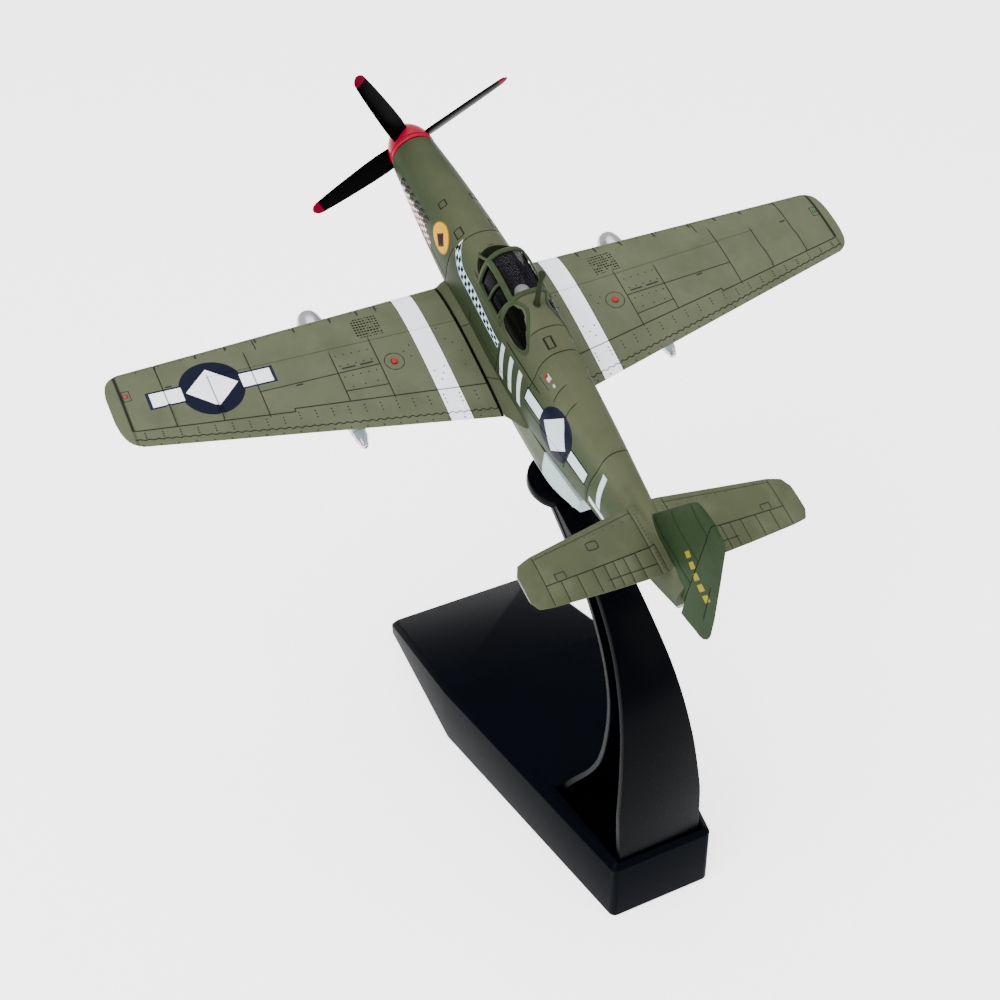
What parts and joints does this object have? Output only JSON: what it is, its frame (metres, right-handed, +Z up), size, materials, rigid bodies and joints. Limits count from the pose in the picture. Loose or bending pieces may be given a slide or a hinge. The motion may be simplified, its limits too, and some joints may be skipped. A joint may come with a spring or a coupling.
{
  "type": "propeller plane model",
  "caption": "Scale model of a single-engine four-blade propeller fighter with drop tanks, nose up on a curved-arm black desk stand; propeller spins, model swivels and lifts off.",
  "frame": {"origin": "centre of the flat face that the stand's base rests on, midway along its length", "axes": "+X towards the aircraft's nose, +Y to its port side, +Z up"},
  "size_m": [0.1348, 0.1568, 0.1409],
  "materials": {
    "black_plastic": "semi-gloss black",
    "base_plastic": "matt black",
    "screw_steel": "blackened steel",
    "fuselage_paint": "satin olive green",
    "wing_paint": "satin olive green",
    "belly_paint": "satin light grey",
    "exhaust": "dark metal",
    "screen_frame": "olive frame with clear panes",
    "canopy_tint": "tinted clear plastic",
    "dark_glass": "black gloss",
    "cockpit_paint": "dark green",
    "headrest": "white",
    "panel_black": "black",
    "mast_paint": "olive",
    "tank_silver": "silver paint",
    "cap_red": "red",
    "lamp_red": "clear red",
    "lamp_green": "clear green",
    "bush_steel": "steel",
    "spinner_red": "gloss red",
    "blade_black": "satin black with red tips"
  },
  "bodies": {
    "stand": {"base_shell": "black_plastic", "bottom_plate": "base_plastic", "base_screw_1": "screw_steel", "base_screw_2": "screw_steel", "base_screw_3": "screw_steel", "base_screw_4": "screw_steel"},
    "arm": {"arm": "black_plastic", "cradle_disc": "black_plastic"},
    "peg": {"swivel_peg": "black_plastic"},
    "aircraft": {"fuselage_left": "fuselage_paint", "fuselage_right": "fuselage_paint", "rudder": "fuselage_paint", "wing_left": "wing_paint", "wing_right": "wing_paint", "tailplane_left": "wing_paint", "tailplane_right": "wing_paint", "belly_scoop": "belly_paint", "scoop_flap": "belly_paint", "exhaust_left": "exhaust", "exhaust_right": "exhaust", "windscreen": "screen_frame", "canopy_glass": "canopy_tint", "canopy_frame": "screen_frame", "rear_window_left": "dark_glass", "rear_window_right": "dark_glass", "cockpit_tub": "cockpit_paint", "seat": "cockpit_paint", "headrest": "headrest", "instrument_panel": "panel_black", "antenna_mast": "mast_paint", "tank_left": "tank_silver", "tank_right": "tank_silver", "tank_tail_left": "tank_silver", "tank_tail_right": "tank_silver", "pylon_left": "belly_paint", "pylon_right": "belly_paint", "fuel_cap_left": "cap_red", "fuel_cap_right": "cap_red", "tip_light_left": "lamp_red", "tip_light_right": "lamp_green", "nose_bush": "bush_steel"},
    "propeller": {"backplate": "spinner_red", "spinner": "spinner_red", "prop_shaft": "bush_steel", "blade_1": "blade_black", "blade_2": "blade_black", "blade_3": "blade_black", "blade_4": "blade_black"}
  },
  "joints": [
    {"name": "arm_pull", "type": "slide", "parent": "stand", "child": "arm", "axis": [0, 0, 1], "range_m": [0, 0.02]},
    {"name": "peg_swivel", "type": "hinge", "parent": "arm", "child": "peg", "pos_m": [-0.00469, 0, 0.07923], "axis": [-0.314, 0, 0.9494], "range_deg": [-90, 90]},
    {"name": "aircraft_lift", "type": "slide", "parent": "peg", "child": "aircraft", "axis": [-0.314, 0, 0.9494], "range_m": [0, 0.015]},
    {"name": "propeller_spin", "type": "hinge", "parent": "aircraft", "child": "propeller", "pos_m": [0.06519, 0, 0.12024], "axis": [0.9494, 0, 0.314], "continuous": true}
  ]
}
